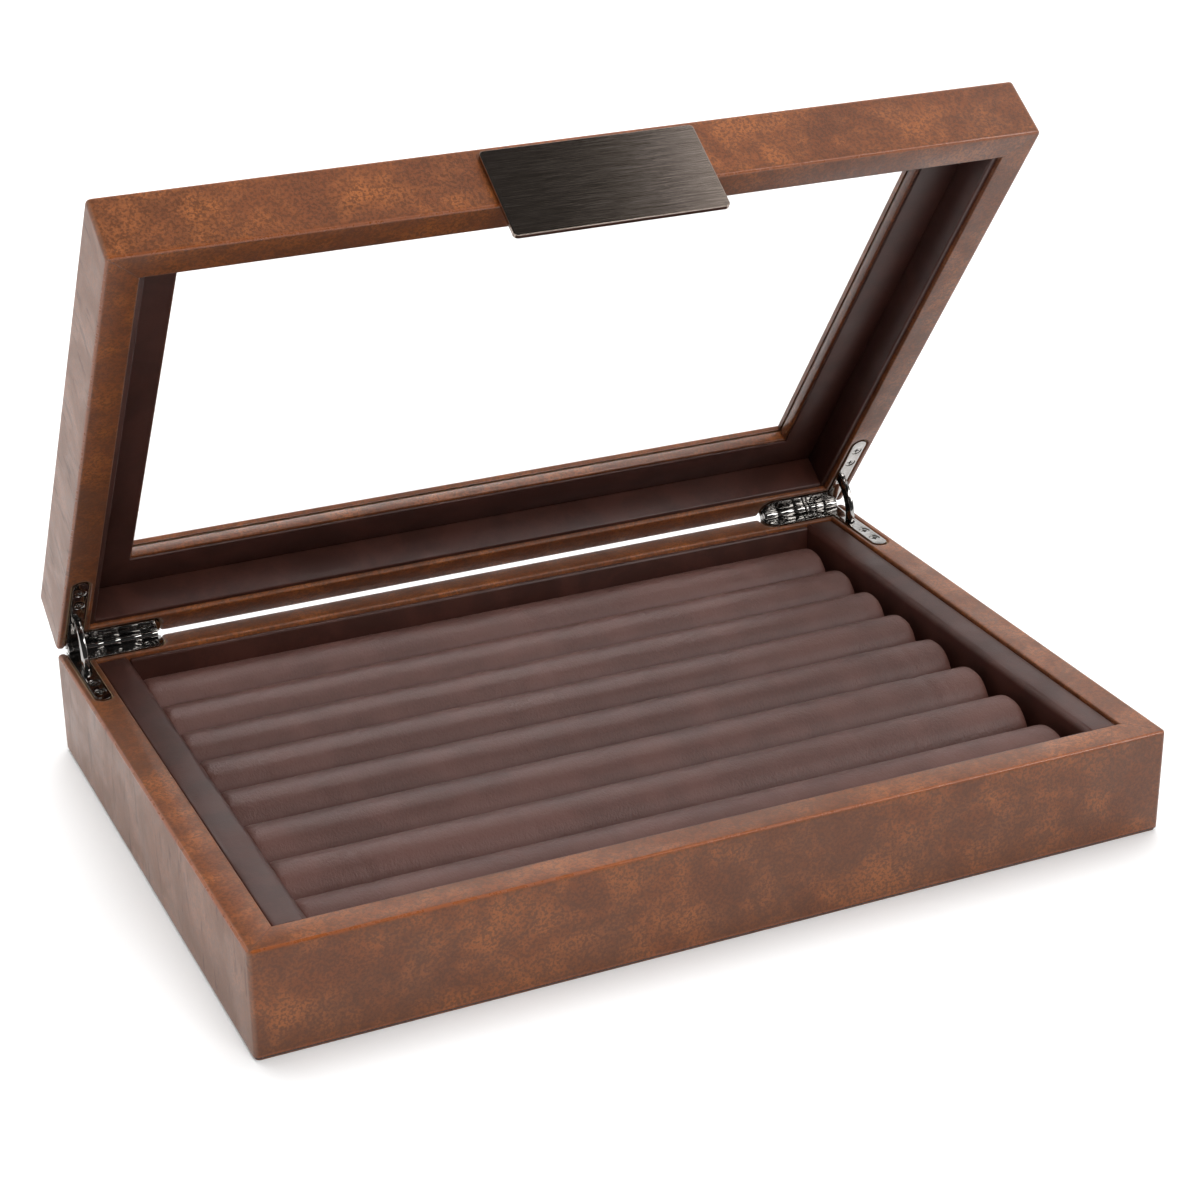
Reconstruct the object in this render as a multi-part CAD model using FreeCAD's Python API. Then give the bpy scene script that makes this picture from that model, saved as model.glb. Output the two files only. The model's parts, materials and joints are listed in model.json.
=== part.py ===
"""Leather-covered cufflink box: a shallow base with eight padded rolls and a glazed lid.

Millimetres, +Z up. The origin is the centre of the base's underside, +X runs to the right
and +Y to the back, where two quadrant hinges carry the lid. The lid is built shut and is
turned about the hinge axis to its display angle at the end.
"""
import FreeCAD, Part
import math
import os

# ---------------------------------------------------------------- driving dimensions
# Case
WIDTH = 292.6               # outside, left to right
DEPTH = 200.4               # outside, front to back
BASE_HEIGHT = 34.7          # underside of the base to its rim
LID_HEIGHT = 21.4           # rim of the lid to its top
LID_GAP = 1.2               # rim to rim when shut
WALL = 10.3                 # covered wall, outside face to inside face
LEATHER = 0.8               # covering
BOTTOM_BOARD = 3.0          # board let in between the walls
UNDER_COVER = 0.8           # covered sheet over the whole underside
UNDER_COVER_INSET = 0.5     # its edge inside the walls' outside faces
CORNER_RADIUS = 2.0         # upright corners, outside
EDGE_RADIUS = 1.6           # long outside edges at the rim and round the top
RIM_INNER_RADIUS = 0.6      # inside edge of the rim
FOOT_RADIUS = 0.9           # lower outside edge of the walls
SHEET_RADIUS = 0.3          # edges of the underside's sheet

# Insert
INSERT_FIT = 0.3            # insert to wall
PIECE_FIT = 0.1             # insert piece to insert piece
INSERT_FLOOR = 3.0
BLOCK_WIDTH = 10.5          # padded end block
BLOCK_DROP = 0.9            # top of the end blocks below the rim
BLOCK_EDGE_RADIUS = 2.0     # inner top edge of the end blocks
RAIL_THICKNESS = 2.0        # front and back lining board
RAIL_DROP = 1.2             # top of those boards below the rim
RAIL_EDGE_RADIUS = 0.9
ROLL_SHARES = (23.8, 22.3, 23.2, 22.7, 20.9, 20.4, 20.6, 22.1)  # front to back, of the tray
ROLL_DROP = 4.6             # top of the rolls below the rim
ROLL_GAP = 0.15             # roll to roll
ROLL_LEFT_GAP = 0.5         # roll to the left end block
ROLL_RIGHT_GAP = 2.5        # roll to the right end block
ROLL_END_RADIUS = 1.5

# Lid
FRAME_WIDTH = 26.7          # outside face of the lid to the window
FRAME_BOARD = 1.0           # board in the top frame, below its covering
GLASS = 1.8                 # pane thickness
GLASS_SEAT = 6.0            # pane held under the frame on each side
GLASS_FIT = 0.3             # pane to the bead's rebate
BEAD = 3.5                  # glazing bead below the pane
LINING = 2.0                # board on each inside wall of the lid
LINING_DROP = 1.5           # edge of those boards inside the rim
LINING_EDGE_RADIUS = 0.6
UNDER_LINING = 1.0          # board under the glazing bead
UNDER_LINING_SETBACK = 0.8  # its edge behind the window's edge
WINDOW_EDGE_RADIUS = 0.5

# Pull plate
PLATE_WIDTH = 67.6
PLATE_HEIGHT = 31.2
PLATE_THICKNESS = 1.5
PLATE_TOP_DROP = 2.8        # its top edge below the lid's top
PLATE_CORNER_RADIUS = 1.5
PLATE_EDGE_RADIUS = 0.3
PAD_THICKNESS = 0.4         # adhesive pad between plate and lid
PAD_MARGIN = 1.8            # pad inside the plate's edge and above the rim

# Quadrant hinges
AXIS_INSET = 0.3            # hinge axis in from the back face
SHOWN_OPEN = 55.3           # lid angle as stored, degrees from shut
FULL_OPEN = 95.0            # stop, degrees from shut
LEAF = 1.6                  # leaf thickness
LEAF_INSET = 3.0            # side face to leaf
ARM_WIDTH = 5.2             # side arm
ARM_LENGTH = 38.8           # side arm, from the back face
BACK_ARM_WIDTH = 8.1
BACK_ARM_REACH = 34.5       # end of the back arm from the side face
BACK_ARM_CORNER = 4.2       # rounding of its free end, inner side
BACK_ARM_HEEL = 1.2         # rounding of its free end, back side
LEAF_FIT = 0.25             # leaf to its recess
KNUCKLE_RADIUS = 2.1
KNUCKLE_ENDS = (3.5, 8.9, 15.1, 20.9, 27.9, 33.5)  # from the side face: lid, base and so on
KNUCKLE_GAP = 0.2           # knuckle to knuckle along the pin
KNUCKLE_CLEARANCE = 0.3     # knuckle to the other leaf and to the covering
PIN_RADIUS = 0.8
PIN_FIT = 0.03
STAY_OUTER = 17.0           # radius of the curved stay's outer edge about the hinge axis
STAY_WIDTH = 3.6
STAY_THICKNESS = 1.8
STAY_LUG = 1.0              # stop at each end of the stay
STAY_LUG_ANGLE = 7.0        # degrees
STAY_FIT = 0.2              # stay to the slots in the leaves
STAY_ROOM = 0.3             # stay to the pockets in the walls
STAY_POCKET_SPARE = 2.0     # degrees beyond the stay's end when shut
SCREW_TIP = 5.8             # last screw of the side arm, from the arm's end
SCREW_PITCH = 7.3           # between the side arm's two screws
SCREW_BACK_NEAR = 13.3      # first screw of the back arm, from the side face
SCREW_BACK_TIP = 4.9        # its last screw, from the arm's end
SCREW_BACK_LINE = 5.6       # both, from the back face
SCREW_HEAD_RADIUS = 1.9
SCREW_SHANK_RADIUS = 0.9
SCREW_LENGTH = 7.0
SCREW_SINK = 0.2            # head below the leaf's face
SCREW_FIT = 0.03            # screw to leaf and to its pilot hole
CROSS_LENGTH = 2.2
CROSS_WIDTH = 0.5
CROSS_DEPTH = 0.5

# ---------------------------------------------------------------- derived places
HALF_W = WIDTH / 2
HALF_D = DEPTH / 2
INNER_W = HALF_W - WALL
INNER_D = HALF_D - WALL
LID_RIM = BASE_HEIGHT + LID_GAP
LID_TOP = LID_RIM + LID_HEIGHT
AXIS_Y = HALF_D - AXIS_INSET
AXIS_Z = BASE_HEIGHT + LID_GAP / 2
GLASS_TOP = LID_TOP - LEATHER - FRAME_BOARD
GLASS_UNDER = GLASS_TOP - GLASS
BEAD_UNDER = GLASS_UNDER - BEAD
CEILING = BEAD_UNDER - UNDER_LINING
WINDOW_W = HALF_W - FRAME_WIDTH
WINDOW_D = HALF_D - FRAME_WIDTH
BOARD_TOP = UNDER_COVER + BOTTOM_BOARD
FLOOR_TOP = BOARD_TOP + INSERT_FLOOR
TINY = 1e-3                 # tells edges apart
OVER = 1.0                  # a cutter reaches this far past what it cuts

V = FreeCAD.Vector
X_DIR = V(1, 0, 0)
Z_DIR = V(0, 0, 1)
ORIGIN = V(0, 0, 0)


# ---------------------------------------------------------------- helpers
def span(x0, x1, y0, y1, z0, z1):
    """A box from its low and high corners."""
    return Part.makeBox(x1 - x0, y1 - y0, z1 - z0, V(x0, y0, z0))


def centre_of(edge):
    box = edge.BoundBox
    return V((box.XMin + box.XMax) / 2, (box.YMin + box.YMax) / 2, (box.ZMin + box.ZMax) / 2)


def rounded(shape, radius, wanted):
    """Round the edges that wanted(edge) picks."""
    edges = [edge for edge in shape.Edges if wanted(edge)]
    return shape.makeFillet(radius, edges)


def upright(edge):
    box = edge.BoundBox
    return box.XLength < TINY and box.YLength < TINY


def level_at(z):
    return lambda edge: edge.BoundBox.ZLength < TINY and abs(centre_of(edge).z - z) < TINY


def outside_at(z):
    """Edges of the outer loop at height z."""
    level = level_at(z)

    def wanted(edge):
        middle = centre_of(edge)
        outer = abs(middle.x) > INNER_W + TINY or abs(middle.y) > INNER_D + TINY
        return level(edge) and outer
    return wanted


def inside_at(z):
    """Edges of the inner loop at height z."""
    level = level_at(z)
    outside = outside_at(z)
    return lambda edge: level(edge) and not outside(edge)


def slab(half_x, half_y, z0, z1, corner=0.0):
    """A plate centred on the Z axis, with rounded upright corners if asked for."""
    shape = span(-half_x, half_x, -half_y, half_y, z0, z1)
    return rounded(shape, corner, upright) if corner > 0 else shape


def ring(outer_x, outer_y, inner_x, inner_y, z0, z1, corner=0.0):
    """A rectangular frame."""
    hole = slab(inner_x, inner_y, z0 - OVER, z1 + OVER)
    return slab(outer_x, outer_y, z0, z1, corner).cut(hole)


def mitred(frame, z0, z1):
    """Cut a rectangular frame into four boards along its mitres."""
    reach = HALF_D
    corners = {
        "front": [(-HALF_W, -HALF_D), (HALF_W, -HALF_D), (HALF_W - reach, 0), (reach - HALF_W, 0)],
        "back": [(-HALF_W, HALF_D), (HALF_W, HALF_D), (HALF_W - reach, 0), (reach - HALF_W, 0)],
        "left": [(-HALF_W, -HALF_D), (reach - HALF_W, 0), (-HALF_W, HALF_D)],
        "right": [(HALF_W, -HALF_D), (HALF_W - reach, 0), (HALF_W, HALF_D)],
    }
    boards = {}
    for side, points in corners.items():
        outline = [V(x, y, z0) for x, y in points]
        wedge = Part.Face(Part.makePolygon(outline + outline[:1])).extrude(V(0, 0, z1 - z0))
        boards[side] = frame.common(wedge)
    return boards


def mirrored(shape):
    """The right-hand twin of a left-hand shape."""
    return shape.mirror(ORIGIN, X_DIR)


def turned(shape, degrees):
    """Turn a shape about the hinge axis: positive opens."""
    copy = shape.copy()
    copy.rotate(V(0, AXIS_Y, AXIS_Z), X_DIR, -degrees)
    return copy


def save(name, shape):
    shape.exportStep("parts/" + name + ".step")


# ---------------------------------------------------------------- left quadrant hinge
# Built shut about its own axis: x from the side face, y and z from the hinge axis. The base
# leaf lies under z = 0, and the lid's leaf is its mirror image with the other knuckles.
LEAF_FACE = -LID_GAP / 2
LEAF_BACK = LEAF_FACE - LEAF
STAY_INNER = STAY_OUTER - STAY_WIDTH
STAY_MIDDLE = LEAF_INSET + ARM_WIDTH / 2
LUG_TOP = math.degrees(math.asin((STAY_FIT / 2 - LEAF_BACK) / STAY_OUTER))
STAY_REACH = FULL_OPEN / 2 + LUG_TOP + STAY_LUG_ANGLE


def along_x(radius, x0, x1):
    return Part.makeCylinder(radius, x1 - x0, V(x0, 0, 0), X_DIR)


def arc_plate(inner, outer, low, high, x0, x1):
    """A ring sector about the hinge axis between two angles above the forward direction."""
    def point(radius, angle):
        turn = math.radians(angle)
        return V(x0, -radius * math.cos(turn), radius * math.sin(turn))
    middle = (low + high) / 2
    edges = [
        Part.Arc(point(outer, low), point(outer, middle), point(outer, high)).toShape(),
        Part.makeLine(point(outer, high), point(inner, high)),
        Part.Arc(point(inner, high), point(inner, middle), point(inner, low)).toShape(),
        Part.makeLine(point(inner, low), point(outer, low)),
    ]
    return Part.Face(Part.Wire(edges)).extrude(V(x1 - x0, 0, 0))


def leaf_blank(z0, z1, grow=0.0):
    """The L-shaped outline of a leaf, or of its recess when grown."""
    back = AXIS_INSET + (OVER if grow > 0 else 0)
    x0 = LEAF_INSET - grow
    arm_end = AXIS_INSET - ARM_LENGTH - grow
    half_arm = ARM_WIDTH / 2 + grow
    arm = span(x0, x0 + 2 * half_arm, arm_end + half_arm, back, z0, z1)
    tip = Part.makeCylinder(half_arm, z1 - z0, V(x0 + half_arm, arm_end + half_arm, z0), Z_DIR)
    reach = BACK_ARM_REACH + grow
    cross = span(x0, reach, AXIS_INSET - BACK_ARM_WIDTH - grow, back, z0, z1)

    def free_end(edge, front):
        middle = centre_of(edge)
        return upright(edge) and abs(middle.x - reach) < TINY and (middle.y < back - OVER) == front
    cross = rounded(cross, BACK_ARM_CORNER, lambda edge: free_end(edge, True))
    cross = rounded(cross, BACK_ARM_HEEL, lambda edge: free_end(edge, False))
    return arm.fuse([tip, cross]).removeSplitter()


def screw_places():
    last = SCREW_TIP + AXIS_INSET - ARM_LENGTH
    line = AXIS_INSET - SCREW_BACK_LINE
    return [
        (STAY_MIDDLE, last),
        (STAY_MIDDLE, last + SCREW_PITCH),
        (SCREW_BACK_NEAR, line),
        (BACK_ARM_REACH - SCREW_BACK_TIP, line),
    ]


def screw_body(x, y, grow=0.0):
    """Countersunk head and shank, pointing down from the leaf's face."""
    top = LEAF_FACE - SCREW_SINK + grow
    head = SCREW_HEAD_RADIUS + grow
    shank = SCREW_SHANK_RADIUS + grow
    cone = Part.makeCone(shank, head, head - shank, V(x, y, top - (head - shank)), Z_DIR)
    tip = LEAF_FACE - SCREW_SINK - SCREW_LENGTH - grow
    rod = Part.makeCylinder(shank, top - tip, V(x, y, tip), Z_DIR)
    if grow > 0:
        mouth = Part.makeCylinder(head, OVER, V(x, y, top), Z_DIR)
        return cone.fuse([rod, mouth])
    return cone.fuse(rod)


def screw(x, y):
    body = screw_body(x, y)
    top = LEAF_FACE - SCREW_SINK
    low = top - CROSS_DEPTH
    half = CROSS_LENGTH / 2
    slim = CROSS_WIDTH / 2
    one = span(x - half, x + half, y - slim, y + slim, low, top + OVER)
    two = span(x - slim, x + slim, y - half, y + half, low, top + OVER)
    return body.cut([one, two])


def base_side_leaf(first_knuckle):
    """A leaf in the base's place, owning every second knuckle from first_knuckle on."""
    leaf = leaf_blank(LEAF_BACK, LEAF_FACE)
    count = len(KNUCKLE_ENDS) - 1
    own = [n for n in range(count) if n % 2 == first_knuckle]
    other = [n for n in range(count) if n % 2 != first_knuckle]
    for n in other:
        relief = KNUCKLE_RADIUS + KNUCKLE_CLEARANCE
        leaf = leaf.cut(along_x(relief, KNUCKLE_ENDS[n] - KNUCKLE_GAP, KNUCKLE_ENDS[n + 1] + KNUCKLE_GAP))
    for n in own:
        start = KNUCKLE_ENDS[n] + KNUCKLE_GAP / 2
        leaf = leaf.fuse(along_x(KNUCKLE_RADIUS, start, KNUCKLE_ENDS[n + 1] - KNUCKLE_GAP / 2))
    leaf = leaf.cut(along_x(PIN_RADIUS + PIN_FIT, 0, KNUCKLE_ENDS[-1] + OVER))
    half = STAY_THICKNESS / 2 + STAY_FIT
    slot = arc_plate(STAY_INNER - STAY_FIT, STAY_OUTER + STAY_FIT, -FULL_OPEN / 2, 0,
                     STAY_MIDDLE - half, STAY_MIDDLE + half)
    leaf = leaf.cut(slot)
    holes = [screw_body(x, y, SCREW_FIT) for x, y in screw_places()]
    return leaf.cut(holes).removeSplitter()


def base_side_cutters():
    """What a leaf, its knuckles, its screws and the stay need cut out of the wall below."""
    recess = leaf_blank(LEAF_BACK, LEAF_FACE + OVER, LEAF_FIT)
    groove = along_x(KNUCKLE_RADIUS + KNUCKLE_CLEARANCE + LEAF_FIT,
                     KNUCKLE_ENDS[0] - LEAF_INSET, KNUCKLE_ENDS[-1] + KNUCKLE_CLEARANCE + LEAF_FIT)
    half = STAY_THICKNESS / 2 + STAY_ROOM
    pocket = arc_plate(STAY_INNER - STAY_ROOM, STAY_OUTER + STAY_LUG + STAY_ROOM,
                       -STAY_REACH - STAY_POCKET_SPARE, 0, STAY_MIDDLE - half, STAY_MIDDLE + half)
    holes = [screw_body(x, y, SCREW_FIT) for x, y in screw_places()]
    return [recess, groove, pocket] + holes


def stay():
    """The curved stay, with a stop lug at each end."""
    half = STAY_THICKNESS / 2
    x0, x1 = STAY_MIDDLE - half, STAY_MIDDLE + half
    bow = arc_plate(STAY_INNER, STAY_OUTER, -STAY_REACH, STAY_REACH, x0, x1)
    root = STAY_OUTER - STAY_WIDTH / 2
    low = arc_plate(root, STAY_OUTER + STAY_LUG, -STAY_REACH, STAY_LUG_ANGLE - STAY_REACH, x0, x1)
    high = arc_plate(root, STAY_OUTER + STAY_LUG, STAY_REACH - STAY_LUG_ANGLE, STAY_REACH, x0, x1)
    return bow.fuse([low, high]).removeSplitter()


def hinge_pin():
    return along_x(PIN_RADIUS, KNUCKLE_ENDS[0], KNUCKLE_ENDS[-1])


def placed(shape):
    """From the hinge's own frame to the left back corner of the case."""
    copy = shape.copy()
    copy.translate(V(-HALF_W, AXIS_Y, AXIS_Z))
    return copy


def flipped(shape):
    """From the base's side of the hinge to the lid's side, shut."""
    return shape.mirror(ORIGIN, Z_DIR)


def both_sides(shape):
    """The left and right copies of a shape in the hinge's own frame."""
    left = placed(shape)
    return [left, mirrored(left)]


base_cutters = [cut for tool in base_side_cutters() for cut in both_sides(tool)]
lid_cutters = [cut for tool in base_side_cutters() for cut in both_sides(flipped(tool))]


def hinge_parts():
    """Shapes by node name: (base parts, lid parts shut, stays shut)."""
    base_leaf = base_side_leaf(1)
    lid_leaf = flipped(base_side_leaf(0))
    screws = [screw(x, y) for x, y in screw_places()]
    base_left, base_right = both_sides(base_leaf)
    lid_left, lid_right = both_sides(lid_leaf)
    stay_left, stay_right = both_sides(stay())
    base = {
        "base_hinge_leaf_left": base_left,
        "base_hinge_leaf_right": base_right,
        "hinge_pins": Part.makeCompound(both_sides(hinge_pin())),
        "base_hinge_screws": Part.makeCompound([s for one in screws for s in both_sides(one)]),
    }
    lid = {
        "lid_hinge_leaf_left": lid_left,
        "lid_hinge_leaf_right": lid_right,
        "lid_hinge_screws": Part.makeCompound([s for one in screws for s in both_sides(flipped(one))]),
    }
    return base, lid, {"stay_left": stay_left, "stay_right": stay_right}


# ---------------------------------------------------------------- base
def bottom_board():
    return slab(INNER_W, INNER_D, UNDER_COVER, BOARD_TOP)


def under_cover():
    """The sheet that covers the whole underside."""
    inset = UNDER_COVER_INSET
    sheet = slab(HALF_W - inset, HALF_D - inset, 0, UNDER_COVER, CORNER_RADIUS - inset)
    sheet = rounded(sheet, SHEET_RADIUS, level_at(0))
    return rounded(sheet, SHEET_RADIUS, level_at(UNDER_COVER))


def base_boards():
    """The four mitred core boards of the base."""
    low, high = UNDER_COVER + LEATHER, BASE_HEIGHT - LEATHER
    frame = ring(HALF_W - LEATHER, HALF_D - LEATHER, INNER_W + LEATHER, INNER_D + LEATHER,
                 low, high, CORNER_RADIUS - LEATHER)
    return mitred(frame.cut(base_cutters), low, high)


def base_covering(boards):
    """The leather round the base's walls: outside, over the rim, down inside and under."""
    outer = slab(HALF_W, HALF_D, UNDER_COVER, BASE_HEIGHT, CORNER_RADIUS)
    outer = rounded(outer, EDGE_RADIUS, level_at(BASE_HEIGHT))
    outer = rounded(outer, FOOT_RADIUS, level_at(UNDER_COVER))
    hollow = slab(INNER_W, INNER_D, UNDER_COVER - OVER, BASE_HEIGHT + OVER)
    body = rounded(outer.cut(hollow), RIM_INNER_RADIUS, inside_at(BASE_HEIGHT))
    return body.cut(list(boards.values()) + base_cutters)


BLOCK_OUT = INNER_W - INSERT_FIT
BLOCK_IN = BLOCK_OUT - BLOCK_WIDTH
RAIL_OUT = INNER_D - INSERT_FIT
RAIL_IN = RAIL_OUT - RAIL_THICKNESS


def insert_floor():
    return slab(BLOCK_OUT, RAIL_OUT, BOARD_TOP, FLOOR_TOP)


def end_block():
    """The left end block; its inner top edge is padded round."""
    top = BASE_HEIGHT - BLOCK_DROP
    block = span(-BLOCK_OUT, -BLOCK_IN, -RAIL_OUT, RAIL_OUT, FLOOR_TOP, top)
    level = level_at(top)
    return rounded(block, BLOCK_EDGE_RADIUS,
                   lambda edge: level(edge) and abs(centre_of(edge).x + BLOCK_IN) < TINY)


def lining_rail(side):
    """The front (-1) or back (+1) lining board between the end blocks."""
    low, high = sorted((side * RAIL_IN, side * RAIL_OUT))
    top = BASE_HEIGHT - RAIL_DROP
    rail = span(PIECE_FIT - BLOCK_IN, BLOCK_IN - PIECE_FIT, low, high, FLOOR_TOP, top)
    level = level_at(top)
    return rounded(rail, RAIL_EDGE_RADIUS,
                   lambda edge: level(edge) and edge.BoundBox.XLength > BLOCK_IN)


def roll(number):
    """A padded roll: upright sides and a half-round top, counted from the front."""
    reach = RAIL_IN - PIECE_FIT
    before, share, whole = sum(ROLL_SHARES[:number]), ROLL_SHARES[number], sum(ROLL_SHARES)
    radius = reach * share / whole - ROLL_GAP / 2
    y = reach * ((2 * before + share) / whole - 1)
    left, right = ROLL_LEFT_GAP - BLOCK_IN, BLOCK_IN - ROLL_RIGHT_GAP
    crown = BASE_HEIGHT - ROLL_DROP - radius
    trunk = span(left, right, y - radius, y + radius, FLOOR_TOP, crown)
    upper = span(left, right, y - radius, y + radius, crown, crown + radius)
    dome = Part.makeCylinder(radius, right - left, V(left, y, crown), X_DIR).common(upper)
    body = trunk.fuse(dome).removeSplitter()

    def arched_end(edge):
        at_end = edge.BoundBox.XLength < TINY
        return at_end and edge.BoundBox.ZMax > crown + TINY
    return rounded(body, ROLL_END_RADIUS, arched_end)


# ---------------------------------------------------------------- lid, built shut
def lid_boards():
    """The four mitred core boards of the lid's walls."""
    low, high = LID_RIM + LEATHER, LID_TOP - LEATHER
    frame = ring(HALF_W - LEATHER, HALF_D - LEATHER, INNER_W + LEATHER, INNER_D + LEATHER,
                 low, high, CORNER_RADIUS - LEATHER)
    return mitred(frame.cut(lid_cutters), low, high)


def lid_top_boards():
    """The four mitred thin boards round the window, under the covering."""
    frame = ring(INNER_W + LEATHER, INNER_D + LEATHER, WINDOW_W + LEATHER, WINDOW_D + LEATHER,
                 GLASS_TOP, LID_TOP - LEATHER)
    return mitred(frame, GLASS_TOP, LID_TOP)


def lid_covering(cores):
    """The leather over the lid: walls, rim, inside walls, top frame and window edge."""
    outer = slab(HALF_W, HALF_D, LID_RIM, LID_TOP, CORNER_RADIUS)
    outer = rounded(outer, EDGE_RADIUS, level_at(LID_TOP))
    outer = rounded(outer, EDGE_RADIUS, level_at(LID_RIM))
    hollow = slab(INNER_W, INNER_D, LID_RIM - OVER, GLASS_TOP)
    window = slab(WINDOW_W, WINDOW_D, GLASS_TOP - OVER, LID_TOP + OVER)
    body = rounded(outer.cut(hollow), RIM_INNER_RADIUS, inside_at(LID_RIM))
    body = rounded(body.cut(window), WINDOW_EDGE_RADIUS, inside_at(LID_TOP))
    return body.cut(cores + lid_cutters)


def lid_glass():
    return slab(WINDOW_W + GLASS_SEAT, WINDOW_D + GLASS_SEAT, GLASS_UNDER, GLASS_TOP)


def glazing_beads():
    """The four mitred, covered strips that hold the pane up against the top frame."""
    bead = ring(INNER_W, INNER_D, WINDOW_W, WINDOW_D, BEAD_UNDER, GLASS_TOP)
    rebate = slab(WINDOW_W + GLASS_SEAT + GLASS_FIT, WINDOW_D + GLASS_SEAT + GLASS_FIT,
                  GLASS_UNDER, GLASS_TOP + OVER)
    return mitred(bead.cut(rebate), BEAD_UNDER, GLASS_TOP)


def under_lining():
    return ring(INNER_W, INNER_D, WINDOW_W + UNDER_LINING_SETBACK, WINDOW_D + UNDER_LINING_SETBACK,
                CEILING, BEAD_UNDER)


def wall_linings():
    """Linings on the lid's inside walls; the side ones run the whole depth."""
    low = LID_RIM + LINING_DROP
    inner_x, inner_y = INNER_W - LINING, INNER_D - LINING
    edge_at = level_at(low)

    def lining(x0, x1, y0, y1, exposed):
        board = span(x0, x1, y0, y1, low, CEILING)
        return rounded(board, LINING_EDGE_RADIUS, lambda edge: edge_at(edge) and exposed(centre_of(edge)))
    left = lining(-INNER_W, -inner_x, -INNER_D, INNER_D, lambda at: abs(at.x + inner_x) < TINY)
    back = lining(-inner_x, inner_x, inner_y, INNER_D, lambda at: abs(at.y - inner_y) < TINY)
    return {
        "lid_lining_left": left,
        "lid_lining_right": mirrored(left),
        "lid_lining_back": back,
        "lid_lining_front": back.mirror(ORIGIN, V(0, 1, 0)),
    }


def pull_plate():
    """The metal plate on the lid's front; its lower part hangs over the base's front."""
    front = -HALF_D - PAD_THICKNESS - PLATE_THICKNESS
    top = LID_TOP - PLATE_TOP_DROP
    plate = span(-PLATE_WIDTH / 2, PLATE_WIDTH / 2, front, -HALF_D - PAD_THICKNESS,
                 top - PLATE_HEIGHT, top)
    plate = rounded(plate, PLATE_CORNER_RADIUS, lambda edge: edge.BoundBox.YLength > TINY)
    return rounded(plate, PLATE_EDGE_RADIUS,
                   lambda edge: edge.BoundBox.YLength < TINY and abs(centre_of(edge).y - front) < TINY)


def plate_pad():
    half = PLATE_WIDTH / 2 - PAD_MARGIN
    top = LID_TOP - PLATE_TOP_DROP - PAD_MARGIN
    return span(-half, half, -HALF_D - PAD_THICKNESS, -HALF_D, LID_RIM + PAD_MARGIN, top)


# ---------------------------------------------------------------- write the parts
os.makedirs("parts", exist_ok=True)

base_hinges, lid_hinges, stays = hinge_parts()

core = base_boards()
base = {"base_board_" + side: board for side, board in core.items()}
base["base_covering"] = base_covering(core)
base["bottom_board"] = bottom_board()
base["under_cover"] = under_cover()
base["insert_floor"] = insert_floor()
base["insert_block_left"] = end_block()
base["insert_block_right"] = mirrored(end_block())
base["insert_lining_front"] = lining_rail(-1)
base["insert_lining_back"] = lining_rail(1)
for number in range(len(ROLL_SHARES)):
    base["roll_" + str(number + 1)] = roll(number)
base.update(base_hinges)

lid = {"lid_board_" + side: board for side, board in lid_boards().items()}
lid.update({"lid_top_board_" + side: board for side, board in lid_top_boards().items()})
lid["lid_covering"] = lid_covering(list(lid.values()))
lid.update({"glazing_bead_" + side: bead for side, bead in glazing_beads().items()})
lid["lid_glass"] = lid_glass()
lid["lid_under_lining"] = under_lining()
lid.update(wall_linings())
lid["pull_plate"] = pull_plate()
lid["pull_plate_pad"] = plate_pad()
lid.update(lid_hinges)

for name, shape in base.items():
    save(name, shape)
for name, shape in lid.items():
    save(name, turned(shape, SHOWN_OPEN))
for name, shape in stays.items():
    save(name, turned(shape, SHOWN_OPEN / 2))

print(len(base) + len(lid) + len(stays), "nodes")
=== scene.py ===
# %% [markdown]
# # A leather cufflink box, dressed in Blender
# The box is a wooden case in tan leather with a glass lid, eight padded rolls and two small
# quadrant hinges. The solids come from the frame; this lesson adds what solids can't show:
# leather that bends over edges and dips round the hinges, soft creased rolls, and finishes.

# %% Open the frame
import bpy, bmesh, json, math
import numpy as np
from mathutils import Matrix, Vector


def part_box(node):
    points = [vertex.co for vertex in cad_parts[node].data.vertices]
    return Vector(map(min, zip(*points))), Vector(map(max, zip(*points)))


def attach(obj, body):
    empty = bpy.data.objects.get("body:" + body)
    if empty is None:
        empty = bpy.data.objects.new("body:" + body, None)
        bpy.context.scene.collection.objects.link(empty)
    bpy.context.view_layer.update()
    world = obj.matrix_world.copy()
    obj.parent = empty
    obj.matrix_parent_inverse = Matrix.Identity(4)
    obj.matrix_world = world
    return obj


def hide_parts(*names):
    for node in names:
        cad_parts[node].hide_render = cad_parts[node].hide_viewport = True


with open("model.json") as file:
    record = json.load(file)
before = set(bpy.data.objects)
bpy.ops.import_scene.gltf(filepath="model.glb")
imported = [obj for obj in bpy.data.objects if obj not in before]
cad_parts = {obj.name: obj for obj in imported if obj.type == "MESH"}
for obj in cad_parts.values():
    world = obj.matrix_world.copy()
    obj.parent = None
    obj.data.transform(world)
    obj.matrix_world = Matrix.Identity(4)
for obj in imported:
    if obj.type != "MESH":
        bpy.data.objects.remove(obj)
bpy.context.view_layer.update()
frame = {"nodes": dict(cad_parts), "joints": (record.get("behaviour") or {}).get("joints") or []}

nodes = frame["nodes"]

# %% [markdown]
# ## The camera
# A long lens from some way off keeps the box's upright lines upright. A camera's matrix is
# three unit vectors, right, up and backwards, and its place.

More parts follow.
